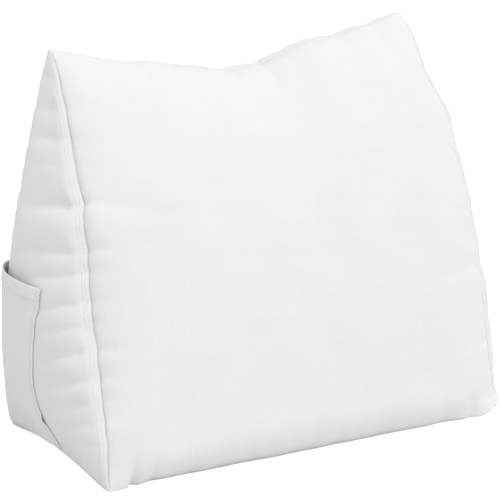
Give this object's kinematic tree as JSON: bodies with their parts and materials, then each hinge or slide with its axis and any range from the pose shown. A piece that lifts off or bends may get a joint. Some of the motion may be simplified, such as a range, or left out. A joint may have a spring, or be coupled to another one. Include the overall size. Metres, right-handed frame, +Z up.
{
  "type": "headboard cushion",
  "caption": "Filled triangular wedge back cushion with a sagging ridge, topstitched end panels and a patch pocket on one end.",
  "frame": {"origin": "under the middle of the whole cushion's box, on the surface that it stands on", "axes": "+X along the width towards the end without a pocket, +Y towards the upright back panel, +Z up"},
  "size_m": [0.58, 0.2686, 0.446],
  "materials": {
    "cover": "matte off-white plain-woven cotton"
  },
  "bodies": {
    "root": {"cushion": "cover", "pocket": "cover"}
  },
  "joints": []
}
